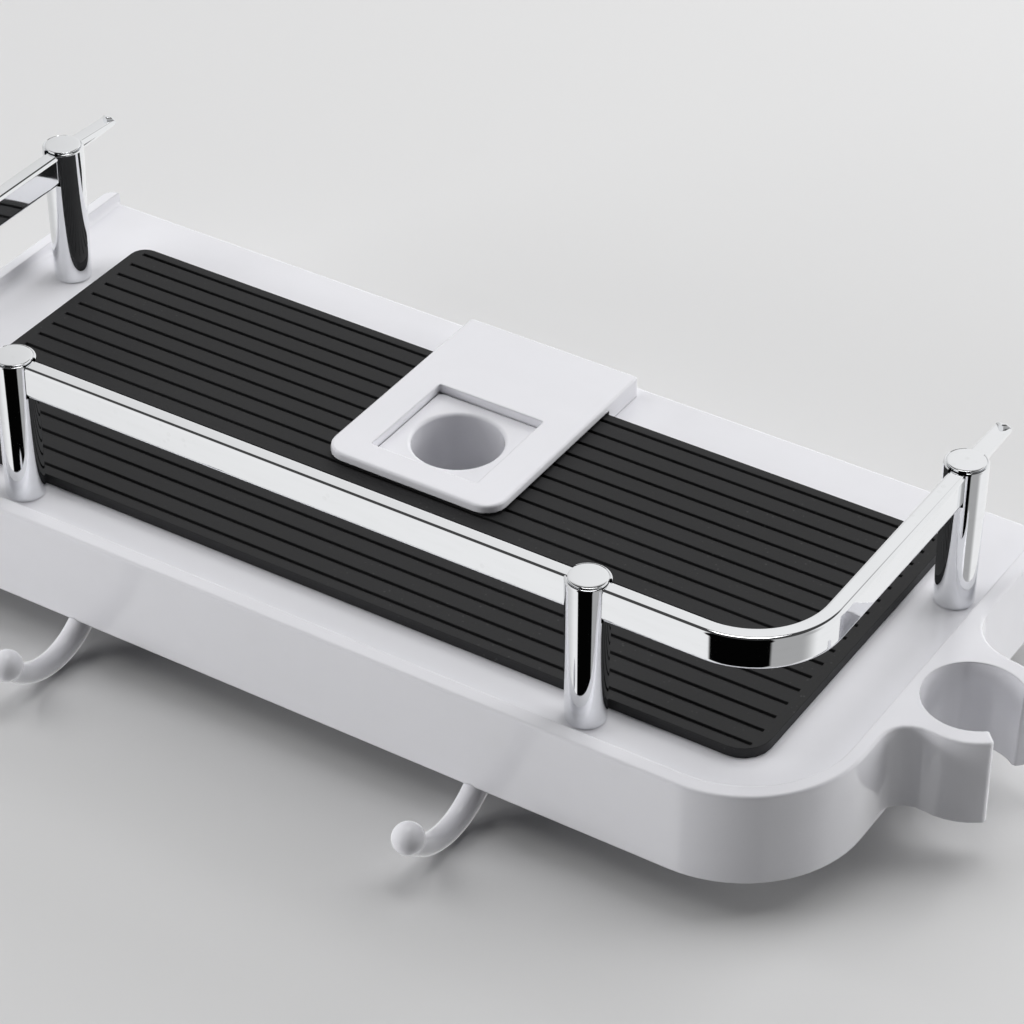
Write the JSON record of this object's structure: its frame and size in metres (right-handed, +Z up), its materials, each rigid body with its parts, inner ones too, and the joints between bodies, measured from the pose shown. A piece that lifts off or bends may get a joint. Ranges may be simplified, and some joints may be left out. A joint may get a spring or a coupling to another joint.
{
  "type": "riser rail shower shelf",
  "caption": "White moulded shower shelf with a grooved mat, chrome guard rail on posts, front hooks, an end clip for a hand shower and a twist-lock collet that grips a riser rail.",
  "frame": {"origin": "on the axis of the riser rail that the shelf grips, level with the lower edge of the tray's wall", "axes": "+Z up along the riser rail, +X along the shelf to the handset clip, +Y to the bathroom wall"},
  "size_m": [0.3502, 0.1831, 0.0808],
  "materials": {
    "white_plastic": "smooth gloss, slightly cool white",
    "black_rubber": "matt, near black",
    "chrome": "mirror plating",
    "screw_steel": "plain stainless"
  },
  "bodies": {
    "shelf": {"tray": "white_plastic", "mat": "black_rubber", "collet_cover": "white_plastic", "guard_rail": "chrome", "post_front_left": "chrome", "post_front_right": "chrome", "post_rear_left": "chrome", "post_rear_right": "chrome", "post_cap_front_left": "chrome", "post_cap_front_right": "chrome", "post_cap_rear_left": "chrome", "post_cap_rear_right": "chrome", "post_screw_front_left": "screw_steel", "post_screw_front_right": "screw_steel", "post_screw_rear_left": "screw_steel", "post_screw_rear_right": "screw_steel", "hook_left": "white_plastic", "hook_right": "white_plastic", "hook_screw_left": "screw_steel", "hook_screw_right": "screw_steel", "cover_screw_1": "screw_steel", "cover_screw_2": "screw_steel", "cover_screw_3": "screw_steel", "cover_screw_4": "screw_steel"},
    "bush": {"reducer_bush": "white_plastic"},
    "ring": {"lock_ring": "white_plastic"}
  },
  "joints": [
    {"name": "lock_ring_turn", "type": "hinge", "parent": "shelf", "child": "ring", "pos_m": [0, 0, 0.004], "axis": [0, 0, 1], "range_deg": [0, 60]},
    {"name": "bush_lift", "type": "slide", "parent": "shelf", "child": "bush", "axis": [0, 0, 1], "range_m": [0, 0.045]}
  ]
}
